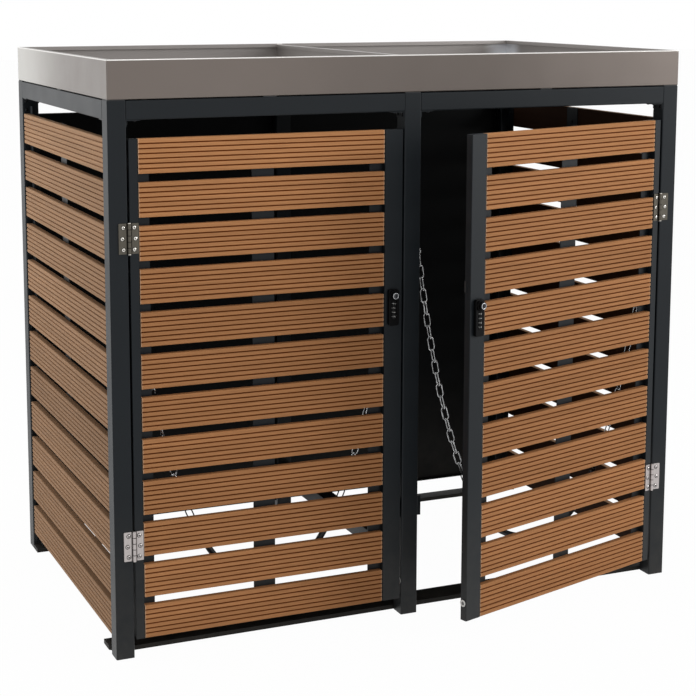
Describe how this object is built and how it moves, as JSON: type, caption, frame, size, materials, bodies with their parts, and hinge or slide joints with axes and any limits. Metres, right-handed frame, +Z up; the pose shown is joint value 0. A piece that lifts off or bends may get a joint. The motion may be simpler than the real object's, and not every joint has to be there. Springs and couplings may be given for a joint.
{
  "type": "wheelie bin store",
  "caption": "Steel-framed store for wheelie bins with ribbed slat walls and doors, combination cam locks, hanging chain loops and a planter tray roof.",
  "frame": {"origin": "middle of the front centre post's foot, on the ground", "axes": "+X across the front to the right, +Y from the doors to the rear wall, +Z up"},
  "size_m": [1.38, 1.0053, 1.273],
  "materials": {
    "frame_paint": "powder coat, anthracite, satin",
    "planter_paint": "powder coat, warm grey, satin",
    "panel_paint": "powder coat, near black, satin",
    "sill_paint": "powder coat, black, satin",
    "slat_board": "ribbed wood and plastic composite, teak brown, matt",
    "zinc_steel": "zinc plated",
    "hinge_steel": "dull stainless steel",
    "lock_black": "black, smooth",
    "dial_plastic": "black with white figures",
    "key_chrome": "polished",
    "plug_plastic": "black, moulded",
    "buffer_rubber": "black, matt",
    "cord_rubber": "black cord, semi-matt"
  },
  "bodies": {
    "store_frame": {"front_left_post": "frame_paint", "front_centre_post": "frame_paint", "front_right_post": "frame_paint", "rear_left_post": "frame_paint", "rear_centre_post": "frame_paint", "rear_right_post": "frame_paint", "top_rails": "frame_paint", "centre_low_rail": "frame_paint", "cleats_and_stops": "frame_paint", "frame_fasteners": "zinc_steel", "plugs_and_pads": "plug_plastic", "front_sill": "sill_paint", "rear_sill": "sill_paint", "left_side_slats": "slat_board", "left_side_straps": "frame_paint", "right_side_slats": "slat_board", "right_side_straps": "frame_paint", "rear_panel_left": "panel_paint", "rear_panel_right": "panel_paint", "left_planter_tray": "planter_paint", "right_planter_tray": "planter_paint", "planter_fascia": "planter_paint", "planter_divider": "planter_paint", "hinge_frame_leaves": "hinge_steel", "hinge_pins": "zinc_steel", "chain_eye_bolts": "zinc_steel"},
    "left_door": {"left_hinge_stile": "frame_paint", "left_lock_stile": "frame_paint", "left_middle_strap": "frame_paint", "left_door_slats": "slat_board", "left_door_fixings": "zinc_steel", "left_hinge_leaves": "hinge_steel", "left_door_buffers": "buffer_rubber", "left_lock_case": "lock_black"},
    "left_knob": {"left_lock_knob": "lock_black", "left_lock_cam": "zinc_steel"},
    "left_key": {"left_key_barrel": "key_chrome"},
    "left_dial_1": {"left_code_dial_1": "dial_plastic"},
    "left_dial_2": {"left_code_dial_2": "dial_plastic"},
    "left_dial_3": {"left_code_dial_3": "dial_plastic"},
    "left_dial_4": {"left_code_dial_4": "dial_plastic"},
    "left_chain": {"left_chain_links": "zinc_steel", "left_chain_cord": "cord_rubber"},
    "right_door": {"right_hinge_stile": "frame_paint", "right_lock_stile": "frame_paint", "right_middle_strap": "frame_paint", "right_door_slats": "slat_board", "right_door_fixings": "zinc_steel", "right_hinge_leaves": "hinge_steel", "right_door_buffers": "buffer_rubber", "right_lock_case": "lock_black"},
    "right_knob": {"right_lock_knob": "lock_black", "right_lock_cam": "zinc_steel"},
    "right_key": {"right_key_barrel": "key_chrome"},
    "right_dial_1": {"right_code_dial_1": "dial_plastic"},
    "right_dial_2": {"right_code_dial_2": "dial_plastic"},
    "right_dial_3": {"right_code_dial_3": "dial_plastic"},
    "right_dial_4": {"right_code_dial_4": "dial_plastic"},
    "right_chain": {"right_chain_links": "zinc_steel", "right_chain_cord": "cord_rubber"}
  },
  "joints": [
    {"name": "left_door_hinge", "type": "hinge", "parent": "store_frame", "child": "left_door", "pos_m": [-0.648, -0.024, 0.576], "axis": [0, 0, -1], "range_deg": [0, 110]},
    {"name": "left_knob_turn", "type": "hinge", "parent": "left_door", "child": "left_knob", "pos_m": [-0.0465, -0.03, 0.745], "axis": [0, 1, 0], "range_deg": [0, 90]},
    {"name": "left_key_turn", "type": "hinge", "parent": "left_knob", "child": "left_key", "pos_m": [-0.0465, -0.03, 0.745], "axis": [0, 1, 0], "range_deg": [0, 90]},
    {"name": "left_dial_1_turn", "type": "hinge", "parent": "left_door", "child": "left_dial_1", "pos_m": [-0.0465, -0.02566, 0.727], "axis": [0, 0, 1], "continuous": true},
    {"name": "left_dial_2_turn", "type": "hinge", "parent": "left_door", "child": "left_dial_2", "pos_m": [-0.0465, -0.02566, 0.7173], "axis": [0, 0, 1], "continuous": true},
    {"name": "left_dial_3_turn", "type": "hinge", "parent": "left_door", "child": "left_dial_3", "pos_m": [-0.0465, -0.02566, 0.7076], "axis": [0, 0, 1], "continuous": true},
    {"name": "left_dial_4_turn", "type": "hinge", "parent": "left_door", "child": "left_dial_4", "pos_m": [-0.0465, -0.02566, 0.6979], "axis": [0, 0, 1], "continuous": true},
    {"name": "left_chain_swing", "type": "hinge", "parent": "store_frame", "child": "left_chain", "pos_m": [-0.335, 0.0125, 0.827], "axis": [1, 0, 0], "range_deg": [0, 60]},
    {"name": "right_door_hinge", "type": "hinge", "parent": "store_frame", "child": "right_door", "pos_m": [0.648, -0.024, 0.576], "axis": [0, 0, 1], "range_deg": [-17, 93]},
    {"name": "right_knob_turn", "type": "hinge", "parent": "right_door", "child": "right_knob", "pos_m": [0.07454, -0.2056, 0.745], "axis": [0.2924, -0.9563, 0], "range_deg": [0, 90]},
    {"name": "right_key_turn", "type": "hinge", "parent": "right_knob", "child": "right_key", "pos_m": [0.07454, -0.2056, 0.745], "axis": [0.2924, -0.9563, 0], "range_deg": [0, 90]},
    {"name": "right_dial_1_turn", "type": "hinge", "parent": "right_door", "child": "right_dial_1", "pos_m": [0.07327, -0.20145, 0.727], "axis": [0, 0, 1], "continuous": true},
    {"name": "right_dial_2_turn", "type": "hinge", "parent": "right_door", "child": "right_dial_2", "pos_m": [0.07327, -0.20145, 0.7173], "axis": [0, 0, 1], "continuous": true},
    {"name": "right_dial_3_turn", "type": "hinge", "parent": "right_door", "child": "right_dial_3", "pos_m": [0.07327, -0.20145, 0.7076], "axis": [0, 0, 1], "continuous": true},
    {"name": "right_dial_4_turn", "type": "hinge", "parent": "right_door", "child": "right_dial_4", "pos_m": [0.07327, -0.20145, 0.6979], "axis": [0, 0, 1], "continuous": true},
    {"name": "right_chain_swing", "type": "hinge", "parent": "store_frame", "child": "right_chain", "pos_m": [0.335, 0.0125, 0.827], "axis": [1, 0, 0], "range_deg": [0, 60]}
  ]
}
